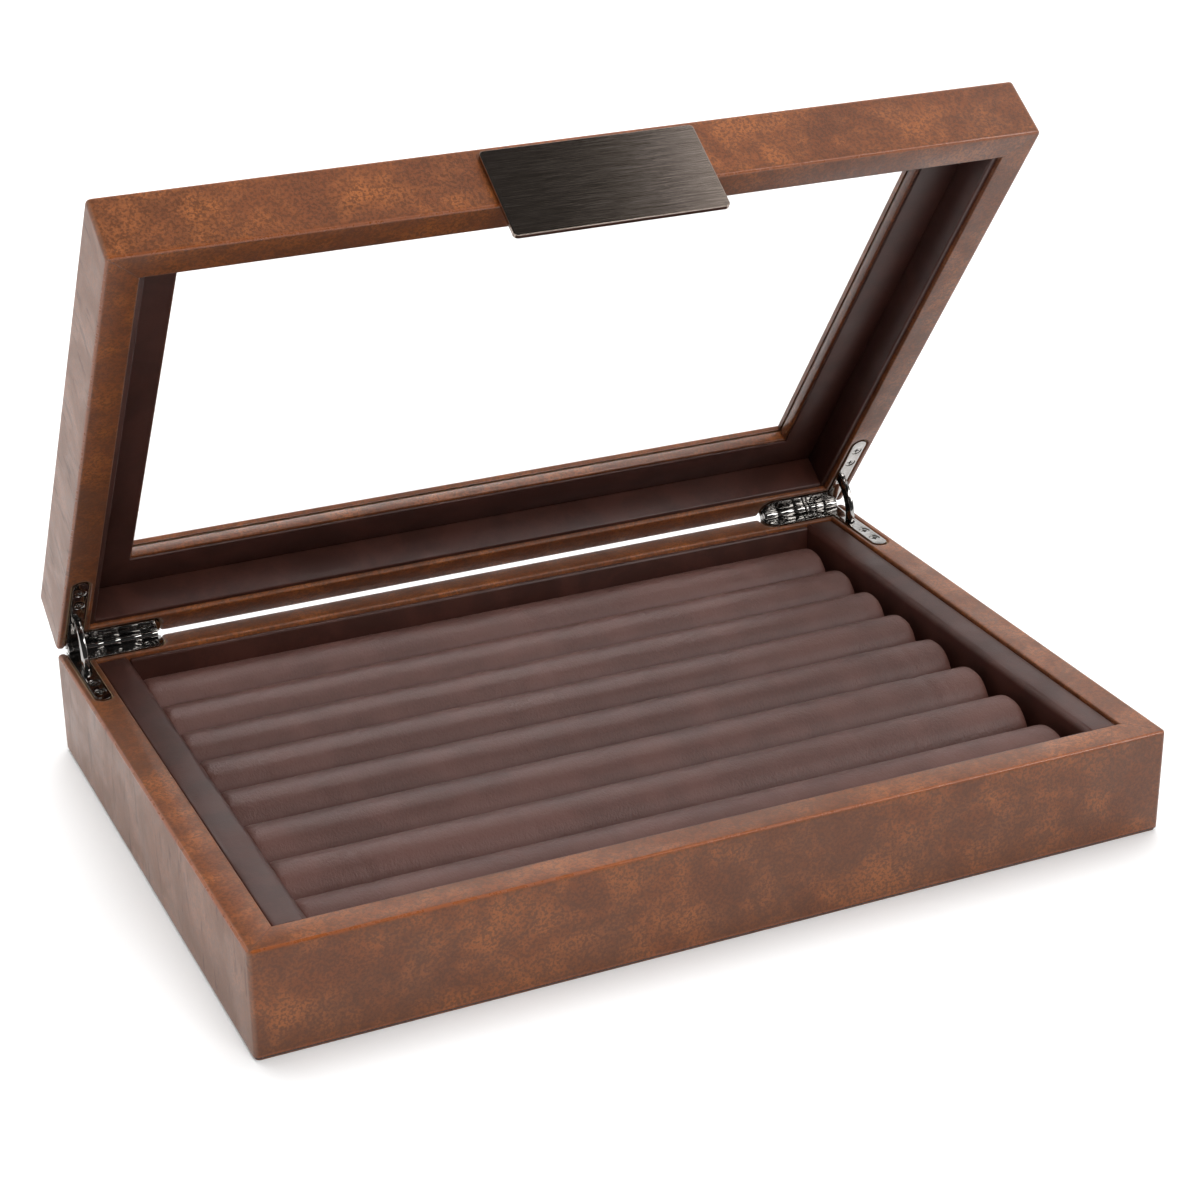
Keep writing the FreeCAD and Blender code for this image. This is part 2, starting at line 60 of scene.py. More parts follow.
# %% The camera
PLACE = (-0.30886, -0.68236, 0.41086)
LENS, SENSOR = 79.74, 36.0  # millimetres
look = Vector((0.37709, 0.82647, -0.41803)).normalized()
right = Vector((0.90818, -0.41851, -0.00817))
right = (right - look * right.dot(look)).normalized()
up = right.cross(look)
camera_data = bpy.data.cameras.new("camera")
camera_data.lens, camera_data.sensor_width = LENS, SENSOR
camera_data.clip_start, camera_data.clip_end = 0.05, 20.0
camera = bpy.data.objects.new("camera", camera_data)
bpy.context.scene.collection.objects.link(camera)
camera.matrix_world = Matrix.Translation(PLACE) @ Matrix((right, up, -look)).transposed().to_4x4()
bpy.context.scene.camera = camera
print("camera", [round(v, 3) for v in camera.location])

# %% [markdown]
# ## Sizes the pieces share
# Every new piece takes its place from the solid it covers, so a change in the solids moves the
# leather too. The lid is easiest to model shut and is turned about the hinge pin at the end.

# %% Measure the case
MM = 0.001
wall_low, wall_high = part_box("base_covering")
HALF_W, HALF_D, RIM = wall_high.x, wall_high.y, wall_high.z
FOOT = wall_low.z
WALL, LID_GAP, LID_HEIGHT = 10.3 * MM, 1.2 * MM, 21.4 * MM
LID_RIM, LID_TOP = RIM + LID_GAP, RIM + LID_GAP + LID_HEIGHT
hinge = next(joint for joint in frame["joints"] if joint["name"] == "lid_hinge")
pin = Vector(hinge["pos_m"])
LID_ANGLE = math.radians(55.3)
turn_open = (Matrix.Translation((0, pin.y, pin.z)) @ Matrix.Rotation(-LID_ANGLE, 4, "X")
             @ Matrix.Translation((0, -pin.y, -pin.z)))
print("half width", HALF_W, "half depth", HALF_D, "rim", RIM, "pin", tuple(pin))

# %% [markdown]
# ## Choosing what to shape
# In edit mode an operator acts on what is selected. By hand you would click a face; in a script
# the same click is a small test on the face's place and direction.

# %% Helpers for edit mode
def clear_selection():
    if bpy.context.mode != "OBJECT":
        bpy.ops.object.mode_set(mode="OBJECT")
    bpy.ops.object.select_all(action="DESELECT")


def start_block(name, low, high):
    """A cube primitive at its size and place, in edit mode."""
    clear_selection()
    low, high = Vector(low), Vector(high)
    bpy.ops.mesh.primitive_cube_add(size=1, location=(low + high) / 2)
    block = bpy.context.object
    block.name = block.data.name = name
    block.scale = high - low
    bpy.ops.object.transform_apply(location=True, rotation=True, scale=True)
    bpy.ops.object.mode_set(mode="EDIT")
    bpy.ops.mesh.select_all(action="DESELECT")
    return block


def pick(piece, kind, test):
    """Select the edges or faces that pass the test; returns how many.

    A face's test gets its centre and direction, an edge's test gets its two ends."""
    bpy.ops.mesh.select_mode(type=kind)
    bpy.ops.mesh.select_all(action="DESELECT")
    mesh = bmesh.from_edit_mesh(piece.data)
    count = 0
    for item in mesh.faces if kind == "FACE" else mesh.edges:
        seen = (item.calc_center_median(), item.normal) if kind == "FACE" else [v.co for v in item.verts]
        chosen = bool(test(*seen))
        item.select_set(chosen)
        count += chosen
    mesh.select_flush_mode()
    bmesh.update_edit_mesh(piece.data)
    return count


def make_active(piece):
    clear_selection()
    piece.select_set(True)
    bpy.context.view_layer.objects.active = piece


def close_block(piece, smooth_angle=40):
    make_active(piece)
    bpy.ops.object.shade_smooth_by_angle(angle=math.radians(smooth_angle))
    return piece


def apply_modifiers(piece):
    make_active(piece)
    for modifier in list(piece.modifiers):
        bpy.ops.object.modifier_apply(modifier=modifier.name)


def places_of(piece):
    """The piece's points as a numpy table with a row of x, y, z for each."""
    spots = np.zeros(len(piece.data.vertices) * 3)
    piece.data.vertices.foreach_get("co", spots)
    return spots.reshape(-1, 3)


def put_places(piece, spots):
    piece.data.vertices.foreach_set("co", spots.ravel())
    piece.data.update()


def near(a, b, room=0.02 * MM):
    return abs(a - b) < room


def smooth_step(value):
    value = np.clip(value, 0, 1)
    return value * value * (3 - 2 * value)


# %% [markdown]
# ## The leather skins
# A case maker pastes one sheet of leather over the boards, folds it over the rim and mitres it
# at the corners. Here a block is inset and hollowed into the folded shape, every fold gets a
# bevel of its own radius, and Solidify gives the sheet its thickness afterwards.

# %% Fold a skin
FOLD = 1.7 * MM                               # every fold's radius at first
EDGE_FOLD, FOOT_FOLD = 1.1 * MM, 0.5 * MM     # what rims and top, and the foot, are drawn in to
INNER_FOLD, WINDOW_FOLD = 0.6 * MM, 0.5 * MM
BASE_WELL, LID_WELL, FAR_WELL = 8.0 * MM, 5.0 * MM, 2.2 * MM  # how far the leather runs inside
FOOT_BAND, WINDOW_BAND = 9.0 * MM, 26.7 * MM
HAIR = 0.01 * MM


def fold_skin(name, low, high, rim_z, far_z, band, well):
    """A sheet round a case: rim at rim_z with a wall's width, far face with a band round a gap."""
    skin = start_block(name, (-HALF_W, -HALF_D, low), (HALF_W, HALF_D, high))
    for z, width, depth in ((rim_z, WALL, well), (far_z, band, FAR_WELL)):
        pick(skin, "FACE", lambda at, out: near(at.z, z))
        bpy.ops.mesh.inset(thickness=width, depth=0)
        inward = -1 if near(z, high) else 1
        bpy.ops.mesh.extrude_region_move(TRANSFORM_OT_translate={"value": (0, 0, inward * depth)})
        bpy.ops.mesh.delete(type="FACE")

    def corner(at):
        return near(abs(at.x), HALF_W) and near(abs(at.y), HALF_D)

    pick(skin, "EDGE", lambda a, b: corner(a) and corner(b))
    bpy.ops.mesh.bevel(offset=FOLD, segments=6, profile=0.5, loop_slide=False)
    return skin


def round_inner_fold(skin, z, radius):
    """Bevel the inner loop of edges that lies at height z."""
    def inside(at):
        return near(at.z, z) and abs(at.x) < HALF_W - WALL / 2 and abs(at.y) < HALF_D - WALL / 2

    count = pick(skin, "EDGE", lambda a, b: inside(a) and inside(b) and (near(a.x, b.x) or near(a.y, b.y)))
    bpy.ops.mesh.bevel(offset=radius, segments=3, profile=0.5)
    return count


def tighten_fold(skin, level, inward, radius):
    """Draw the outer fold at a level in from the common radius to a smaller one."""
    spots = places_of(skin)
    flat, depth = spots[:, :2], (spots[:, 2] - level) * inward
    inner = np.array([HALF_W - FOLD, HALF_D - FOLD])
    centre = np.clip(flat, -inner, inner)
    fold = (depth < FOLD - HAIR) & (np.abs(flat) > inner - HAIR).any(axis=1)
    share = radius / FOLD
    out = flat - centre
    length = np.hypot(out[:, 0], out[:, 1])[:, None]
    bent = length > 1e-6
    wanted = FOLD - share * (FOLD - length)
    on_line = (np.abs(np.abs(flat) - inner) < HAIR) & (depth < HAIR)[:, None]
    spread = np.where(bent, out * (wanted / np.maximum(length, 1e-9)),
                      np.sign(flat) * on_line * (FOLD - radius))
    spots[:, :2] = np.where(fold[:, None] & (bent | on_line), centre + spread, flat)
    spots[:, 2] = np.where(fold, level + inward * share * depth, spots[:, 2])
    put_places(skin, spots)
    return int(fold.sum())


base_skin = fold_skin("leather_base", FOOT, RIM, RIM, FOOT, FOOT_BAND, BASE_WELL)
print("inner fold", round_inner_fold(base_skin, RIM, INNER_FOLD))
close_block(base_skin)
print("foot", tighten_fold(base_skin, FOOT, 1, FOOT_FOLD), "rim", tighten_fold(base_skin, RIM, -1, EDGE_FOLD))

lid_skin = fold_skin("leather_lid", LID_RIM, LID_TOP, LID_RIM, LID_TOP, WINDOW_BAND, LID_WELL)
print("inner fold", round_inner_fold(lid_skin, LID_RIM, INNER_FOLD),
      "window", round_inner_fold(lid_skin, LID_TOP, WINDOW_FOLD))
close_block(lid_skin)
print("rim", tighten_fold(lid_skin, LID_RIM, 1, EDGE_FOLD),
      "top", tighten_fold(lid_skin, LID_TOP, -1, EDGE_FOLD))

# %% [markdown]
# ## Leather pressed down round the hinges
# Each hinge leaf is let into the rim, and the leather dips softly into the recess. A dip needs
# small faces to bend, so only the leather near the hinges is cut into a fine grid. Then each
# point sinks by a smooth step of its distance to the leaf's L shape, and a groove clears the
# hinge barrel. Booleans would give a hard stamped edge, which leather never has.

# %% Distance to the hinge leaf
LEAF_IN, ARM_WIDE, ARM_LONG = 3.0 * MM, 5.2 * MM, 38.8 * MM
BACK_WIDE, BACK_REACH, LEAF_THICK = 8.1 * MM, 34.5 * MM, 1.6 * MM
ARM_CORNER, BACK_CORNER, INNER_CORNER = 2.55 * MM, 3.6 * MM, 0.3 * MM
PAST_BACK = -6 * MM  # the recess runs out through the back face
BARREL_START, BARREL_END, BARREL_RADIUS = 3.5 * MM, 33.5 * MM, 2.1 * MM


def rounded_box_gap(x, y, x0, x1, y0, y1, corner):
    """Distance to a rectangle with round corners; negative inside."""
    middle_x, middle_y = (x0 + x1) / 2, (y0 + y1) / 2
    out_x = np.abs(x - middle_x) - ((x1 - x0) / 2 - corner)
    out_y = np.abs(y - middle_y) - ((y1 - y0) / 2 - corner)
    outside = np.hypot(np.maximum(out_x, 0), np.maximum(out_y, 0))
    return outside + np.minimum(np.maximum(out_x, out_y), 0) - corner


def leaf_gap(x, y):
    """x in from the side face, y in from the back face."""
    arm = rounded_box_gap(x, y, LEAF_IN, LEAF_IN + ARM_WIDE, PAST_BACK, ARM_LONG, ARM_CORNER)
    cross = rounded_box_gap(x, y, LEAF_IN, BACK_REACH, PAST_BACK, BACK_WIDE, BACK_CORNER)
    corner = rounded_box_gap(x, y, LEAF_IN, LEAF_IN + 12 * MM, PAST_BACK, BACK_WIDE, INNER_CORNER)
    return np.minimum(np.minimum(arm, cross), corner)


# %% A fine grid near the hinges
REACH_X, REACH_Y, CELL = 40 * MM, 45 * MM, 3.2 * MM
CUTS_X, CUTS_Y = 12, 13
DIP_DEPTH = 3.2 * MM  # below this the leather stays flat
MARGIN = 1 * MM


def slice_faces(skin, place, direction, chosen=lambda at, out: True):
    """Cut the chosen faces, or all of them, along a plane."""
    pick(skin, "FACE", chosen)
    bpy.ops.mesh.bisect(plane_co=place, plane_no=direction)


def refine_rim(skin, rim_z, cuts=7):
    make_active(skin)
    bpy.ops.object.mode_set(mode="EDIT")
    inward = -1 if rim_z == RIM else 1

    def beside(at, out):
        close = abs(at.z - rim_z) < DIP_DEPTH + 0.2 * MM and at.y > HALF_D - REACH_Y - MARGIN
        return close and abs(at.x) > HALF_W - REACH_X - MARGIN

    def bed(at, out):
        x, y = HALF_W - abs(at.x), HALF_D - at.y
        return beside(at, out) and min(x, y) < WALL + MARGIN and leaf_gap(x, y) < CELL

    slice_faces(skin, (0, HALF_D - REACH_Y, 0), (0, 1, 0))
    for side in (-1, 1):
        slice_faces(skin, (side * (HALF_W - REACH_X), 0, 0), (1, 0, 0))
    slice_faces(skin, (0, 0, rim_z + inward * DIP_DEPTH), (0, 0, 1), lambda at, out: at.y > HALF_D - REACH_Y)
    for step in range(1, CUTS_Y + 1):
        slice_faces(skin, (0, HALF_D - REACH_Y + step * CELL, 0), (0, 1, 0), beside)
    for side in (-1, 1):
        for step in range(1, CUTS_X + 1):
            slice_faces(skin, (side * (HALF_W - REACH_X + step * CELL), 0, 0), (1, 0, 0), beside)
    count = pick(skin, "FACE", bed)
    bpy.ops.mesh.subdivide(number_cuts=cuts)
    bpy.ops.object.mode_set(mode="OBJECT")
    print(skin.name, "faces cut fine", count, "now", len(skin.data.polygons))


refine_rim(base_skin, RIM)
refine_rim(lid_skin, LID_RIM)

# %% Sink the leather round the leaves
STEP_START, STEP_WIDE = -0.05 * MM, 0.95 * MM  # the steep edge of the recess
DIP_START, DIP_WIDE, DIP = -0.2 * MM, 3.4 * MM, 0.35 * MM  # the shallow dip round it
LEAF_BED = LEAF_THICK + 0.12 * MM
BARREL_ROOM, BARREL_ENDS = 0.3 * MM, 0.25 * MM


def press_hinges(skin, rim_z):
    spots = places_of(skin)
    inward = -1 if rim_z == RIM else 1
    x, y = HALF_W - np.abs(spots[:, 0]), HALF_D - spots[:, 1]
    gap = leaf_gap(x, y)
    step = smooth_step((gap - STEP_START) / STEP_WIDE)
    wide = np.clip((gap - DIP_START) / DIP_WIDE, 0, 1)
    sink = LEAF_BED * (1 - step) + DIP * (1 - wide) ** 2
    depth = (rim_z - spots[:, 2]) * -inward
    fade = np.clip(1 - depth / DIP_DEPTH, 0, 1)
    band = (y < REACH_Y - MARGIN / 2) & (x < REACH_X - MARGIN / 2)
    spots[:, 2] += np.where(band, inward * sink * fade, 0)
    room = BARREL_RADIUS + BARREL_ROOM
    away_y, away_z = spots[:, 1] - pin.y, spots[:, 2] - pin.z
    far = np.hypot(away_y, away_z)
    along = (x > BARREL_START - BARREL_ENDS) & (x < BARREL_END + BARREL_ENDS)
    held = along & (far < room) & (far > 1e-6)
    push = np.where(held, room / np.maximum(far, 1e-6), 1)
    spots[:, 1] = pin.y + away_y * push
    spots[:, 2] = pin.z + away_z * push
    put_places(skin, spots)
    sunk = band & (sink * fade > 0.05 * MM)
    print(skin.name, "points sunk", int(sunk.sum()), "round the barrel", int(held.sum()))


press_hinges(base_skin, RIM)
press_hinges(lid_skin, LID_RIM)

# %% [markdown]
# ## Keeping the flat pattern's place
# A pattern that should follow the leather needs a place that doesn't turn with the lid. Each
# point keeps its place in the shut box as an attribute, and a second one says how near it is
# to an edge, where dye rubs thin and the leather takes a warm polish.

# %% Write the attributes
CREST = 0.42  # the share of a fold that counts fully as its crest


def remember(skin, z_low, z_high):
    """An edge is where the two nearest of the case's faces are both close."""
    spots = places_of(skin)
    place = skin.data.attributes.new("shut_place", "FLOAT_VECTOR", "POINT")
    place.data.foreach_set("vector", spots.ravel())
    from_level = np.minimum(spots[:, 2] - z_low, z_high - spots[:, 2])
    gaps = np.sort(np.stack([HALF_W - np.abs(spots[:, 0]), HALF_D - np.abs(spots[:, 1]),
                             np.maximum(from_level, 0)]), axis=0)
    crest = np.clip((1 - (gaps[0] + gaps[1]) / EDGE_FOLD) / CREST, 0, 1)
    edge = skin.data.attributes.new("edge", "FLOAT", "POINT")
    edge.data.foreach_set("value", crest.astype(np.float32))
    print(skin.name, "points on edges", int((crest > 0.5).sum()))


remember(base_skin, FOOT, RIM)
remember(lid_skin, LID_RIM, LID_TOP)

# %% Give the sheets their thickness and open the lid
def thicken(skin, thickness=0.55 * MM):
    sheet = skin.modifiers.new("sheet", "SOLIDIFY")
    sheet.thickness, sheet.offset = thickness, -1
    sheet.use_rim = True
    apply_modifiers(skin)


def open_lid(piece):
    """Turn a piece modelled on the shut lid to where the lid stands."""
    put_places(piece, places_of(piece) @ np.array(turn_open.to_3x3()).T + np.array(turn_open.translation))


thicken(base_skin)
thicken(lid_skin)
open_lid(lid_skin)
for skin, body, node in ((base_skin, "base", "base_covering"), (lid_skin, "lid", "lid_covering")):
    close_block(skin, 50)
    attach(skin, body)
    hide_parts(node)
    print(skin.name, "faces", len(skin.data.polygons))

# %% [markdown]
# ## Padded end blocks
# At each end of the tray a strip of board is wrapped in dark leather over thin foam, so its
# top is slightly crowned and its inner edge is round. Bevels make the round edges, and a few
# cuts along the top are lifted a little for the crown.

# %% The end blocks
INNER_ROUND, OUTER_ROUND = 2.1 * MM, 0.7 * MM
CROWN, CROWN_DROP = 0.3, 0.12  # millimetres


def padded_end(side):
    node = "insert_block_" + side
    low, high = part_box(node)
    block = start_block("padded_end_" + side, low, high)
    inner_x, outer_x = (high.x, low.x) if side == "left" else (low.x, high.x)

    def top_inner(a, b):
        return near(a.z, high.z) and near(b.z, high.z) and near(a.x, inner_x) and near(b.x, inner_x)

    def top_outer(a, b):
        on_top = near(a.z, high.z, 0.5 * MM) and near(b.z, high.z, 0.5 * MM)
        is_long = abs(a.x - b.x) + abs(a.y - b.y) > 1 * MM
        at_end = near(a.y, b.y) and near(abs(a.y), high.y)
        at_wall = near(a.x, b.x) and near(a.x, outer_x)
        return on_top and is_long and (at_end or at_wall)

    pick(block, "EDGE", top_inner)
    bpy.ops.mesh.bevel(offset=INNER_ROUND, segments=6, profile=0.5)
    pick(block, "EDGE", top_outer)
    bpy.ops.mesh.bevel(offset=OUTER_ROUND, segments=4, profile=0.5)
    for x in np.linspace(low.x, high.x, 7)[1:-1]:
        slice_faces(block, (x, 0, 0), (1, 0, 0))
    for y in np.linspace(low.y, high.y, 48)[1:-1]:
        slice_faces(block, (0, y, 0), (0, 1, 0))
    close_block(block, 50)
    spots = places_of(block)
    top = spots[:, 2] > high.z - 0.05 * MM
    across = (spots[:, 0] - (low.x + high.x) / 2) / ((high.x - low.x) / 2)
    wave = 0.05 * np.sin(spots[:, 1] * 190) + 0.05 * np.sin(spots[:, 1] * 77 + 1)
    spots[:, 2] += np.where(top, (CROWN * (1 - across ** 2) - CROWN_DROP + wave) * MM, 0)
    put_places(block, spots)
    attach(block, "base")
    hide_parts(node)
    return block


ends = [padded_end(side) for side in ("left", "right")]
print("end blocks", [len(block.data.polygons) for block in ends])

# %% [markdown]
# ## The rolls
# Each roll is a bar of foam in a thin soft cover, pushed side by side into the tray so that a
# cufflink's bar can be pressed in between. The cover is slack lengthways, so it puckers in
# fine creases across the roll, most where it tucks in at the ends. The foam is blown up with a
# cloth simulation that is stopped early, and the creases are pressed in afterwards.

# %% A roll before it is filled
ROOM_TO_SWELL = Vector((0.3 * MM, 0.35 * MM, 0))
CROWN_ROOM = Vector((0, 0, 0.25 * MM))
LEFT_ROUND, RIGHT_ROUND = 0.4 * MM, 1.8 * MM


def bare_roll(number):
    low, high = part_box("roll_%d" % number)
    low, high = low + ROOM_TO_SWELL, high - ROOM_TO_SWELL - CROWN_ROOM
    roll = start_block("cushion_roll_%d" % number, low, high)
    radius = (high.y - low.y) / 2
    crown = high.z
    pick(roll, "EDGE", lambda a, b: near(a.z, crown) and near(b.z, crown) and near(a.y, b.y))
    bpy.ops.mesh.bevel(offset=radius * 0.985, segments=12, profile=0.5)
    for end, round_off in ((low.x, LEFT_ROUND), (high.x, RIGHT_ROUND)):
        pick(roll, "EDGE", lambda a, b: near(a.x, end) and near(b.x, end) and a.z + b.z > 2 * low.z + 4 * MM)
        bpy.ops.mesh.bevel(offset=round_off, segments=4, profile=0.5)
    close_block(roll, 60)
    return roll, low, high


# %% Swell the foam
VOXEL, SWELL_LIMIT, SWELL_FRAMES = 1.5 * MM, 0.6 * MM, 12


def fill_roll(roll):
    """Swell the foam with air pressure, but hold it to its share of the tray."""
    before = roll.modifiers.new("voxels", "REMESH")
    before.mode, before.voxel_size = "VOXEL", VOXEL
    apply_modifiers(roll)
    rest = places_of(roll).copy()
    cloth = roll.modifiers.new("cloth", "CLOTH")
    cloth.settings.use_pressure = True
    cloth.settings.uniform_pressure_force = 4
    cloth.settings.effector_weights.gravity = 0
    cloth.settings.quality = 4
    cloth.collision_settings.use_collision = False
    for step in range(1, SWELL_FRAMES + 1):
        bpy.context.scene.frame_set(step)
    apply_modifiers(roll)
    bpy.context.scene.frame_set(1)
    move = places_of(roll) - rest
    size = np.linalg.norm(move, axis=1, keepdims=True)
    put_places(roll, rest + move * np.minimum(1, SWELL_LIMIT / np.maximum(size, 1e-9)))
    finer = roll.modifiers.new("finer", "SUBSURF")
    finer.levels = finer.render_levels = 1
    apply_modifiers(roll)


# %% Crease the cover and line the rolls up
FOLDS, END_SHARE, END_TIMES = 30, 0.1, 2.2


def crease_roll(roll, number, low, high):
    """Fine folds across the roll, deepest near its ends."""
    chance = np.random.default_rng(40 + number)
    spots = places_of(roll)
    radius = (high.y - low.y) / 2
    middle = Vector((0, (low.y + high.y) / 2, high.z - radius))
    angle = np.arctan2(spots[:, 1] - middle.y, spots[:, 2] - middle.z)
    sink = np.zeros(len(spots))
    for fold in range(FOLDS):
        at = low.x + (high.x - low.x) * chance.random()
        ends = min(at - low.x, high.x - at) / (high.x - low.x)
        depth = (0.02 + 0.05 * chance.random()) * MM * (END_TIMES if ends < END_SHARE else 1.0)
        width = (0.9 + 1.4 * chance.random()) * MM
        lean = chance.normal() * 1.6 * MM
        turn, spread = chance.uniform(-1.2, 1.2), chance.uniform(0.5, 1.3)
        line = at + lean * angle
        across = np.exp(-((spots[:, 0] - line) / width) ** 2)
        sink += depth * across * np.exp(-((angle - turn) / spread) ** 2)
    above = spots[:, 2] > low.z + 3 * MM
    outward = np.stack([np.zeros(len(spots)), np.sin(angle), np.cos(angle)], axis=1)
    spots -= outward * (sink * above)[:, None]
    spots[:, 0] = np.clip(spots[:, 0], low.x - 0.3 * MM, high.x + 0.3 * MM)
    spots[:, 2] = np.maximum(spots[:, 2], low.z + 0.02 * MM)
    put_places(roll, spots)


rolls = []
for number in range(1, 9):
    roll, low, high = bare_roll(number)
    fill_roll(roll)
    crease_roll(roll, number, low, high)
    close_block(roll, 80)
    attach(roll, "base")
    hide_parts("roll_%d" % number)
    rolls.append(roll)
print("rolls", [len(roll.data.polygons) for roll in rolls])

# %% [markdown]
# ## Soft edges on small parts
# A solid from a drawing has knife edges, and a real edge always catches a thin line of light.
# A copy of each small part is merged from loose triangles, its flat faces are joined again, and
# a Bevel that only looks for sharp corners rounds it by a fraction of a millimetre.

# %% Round a copy of a part
def soften(node_name, body, width, steps=2):
    piece = bpy.data.objects.new("soft_" + node_name, nodes[node_name].data.copy())
    bpy.context.scene.collection.objects.link(piece)
    make_active(piece)
    bpy.ops.object.mode_set(mode="EDIT")
    bpy.ops.mesh.select_all(action="SELECT")
    bpy.ops.mesh.remove_doubles(threshold=0.002 * MM)
    bpy.ops.mesh.dissolve_limited(angle_limit=math.radians(1.0))
    bpy.ops.object.mode_set(mode="OBJECT")
    round_off = piece.modifiers.new("round_off", "BEVEL")
    round_off.width, round_off.segments = width, steps
    round_off.limit_method, round_off.angle_limit = "ANGLE", math.radians(35)
    round_off.use_clamp_overlap = True
    apply_modifiers(piece)
    close_block(piece, 40)
    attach(piece, body)
    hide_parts(node_name)
    return piece


soft = {}
for side in ("left", "right"):
    for body in ("base", "lid"):
        soft["%s_hinge_leaf_%s" % (body, side)] = (body, "hinge_metal", 0.18)
    soft["stay_" + side] = ("stay_" + side, "hinge_metal", 0.25)
for body in ("base", "lid"):
    soft[body + "_hinge_screws"] = (body, "hinge_metal", 0.13)
for side in ("front", "back", "left", "right"):
    soft["lid_lining_" + side] = ("lid", "dark_leather", 0.35)
    soft["glazing_bead_" + side] = ("lid", "tan_leather", 0.4)
soft["lid_under_lining"] = ("lid", "dark_leather", 0.3)
soft["insert_lining_front"] = soft["insert_lining_back"] = ("base", "dark_leather", 0.4)
soft["under_cover"] = ("base", "tan_leather", 0.25)
soft_parts = {}
for name, (body, slot_name, width) in soft.items():
    soft_parts[name] = soften(name, body, width * MM)
print("softened", {name: len(piece.data.polygons) for name, piece in soft_parts.items()})

# %% [markdown]
# ## Shared effects
# The leather grain is used by three finishes, and the seams and streaks by both tan ones, so
# each is a node group with named values. A group gives only masks and heights; the shader stays
# outside. The scale of a noise is a number of cells per metre.

# %% A node group builder
def new_group(name, inputs, outputs):
    group = bpy.data.node_groups.new(name, "ShaderNodeTree")
    for label, kind, value in inputs:
        socket = group.interface.new_socket(label, in_out="INPUT", socket_type=kind)
        if value is not None:
            socket.default_value = value
    for label in outputs:
        group.interface.new_socket(label, in_out="OUTPUT", socket_type="NodeSocketFloat")
    return group, group.nodes.new("NodeGroupInput"), group.nodes.new("NodeGroupOutput")


def node(tree, kind, settings=None, values=None):
    made = tree.nodes.new(kind)
    for key, value in (settings or {}).items():
        setattr(made, key, value)
    for key, value in (values or {}).items():
        made.inputs[key].default_value = value
    return made


def feed(tree, value, target, label):
    tree.links.new(value, target.inputs[label])


# %% Sums, masks and colours
def math_node(tree, operation, first, second=None):
    made = node(tree, "ShaderNodeMath", {"operation": operation})
    for slot, value in enumerate((first, second)):
        if value is None:
            continue
        if isinstance(value, (int, float)):
            made.inputs[slot].default_value = value
        else:
            feed(tree, value, made, slot)
    return made.outputs[0]


def plus(tree, first, second):
    return math_node(tree, "ADD", first, second)


def minus(tree, first, second):
    return math_node(tree, "SUBTRACT", first, second)


def times(tree, first, second):
    return math_node(tree, "MULTIPLY", first, second)


def remap(tree, value, low, high, to_low=0.0, to_high=1.0, smooth=True):
    made = node(tree, "ShaderNodeMapRange", {"interpolation_type": "SMOOTHSTEP" if smooth else "LINEAR"},
                {"From Min": low, "From Max": high, "To Min": to_low, "To Max": to_high})
    feed(tree, value, made, "Value")
    return made.outputs["Result"]


MASK, FIRST, SECOND = 0, 6, 7  # the Mix node's sockets for colours


def mix_color(tree, mask, first, second):
    made = node(tree, "ShaderNodeMix", {"data_type": "RGBA"})
    for slot, value in ((MASK, mask), (FIRST, first), (SECOND, second)):
        if isinstance(value, tuple):
            made.inputs[slot].default_value = (*value, 1)
        else:
            feed(tree, value, made, slot)
    return made.outputs[2]


def tint(tree, base, mask, share, color):
    """Lay a colour over the base where the mask is, at most by the share."""
    return mix_color(tree, times(tree, mask, share), base, color)


def noise(tree, place, scale, detail=2.0, rough=0.5, distort=0.0):
    made = node(tree, "ShaderNodeTexNoise", None,
                {"Scale": scale, "Detail": detail, "Roughness": rough, "Distortion": distort})
    feed(tree, place, made, "Vector")
    return made.outputs["Fac"]


# %% The leather grain group
ISLAND = 95.0  # cells per metre, as for every scale
ISLAND_PULL = (0.022, 0.022, 0.022)  # metres by which the islands' outlines are bent


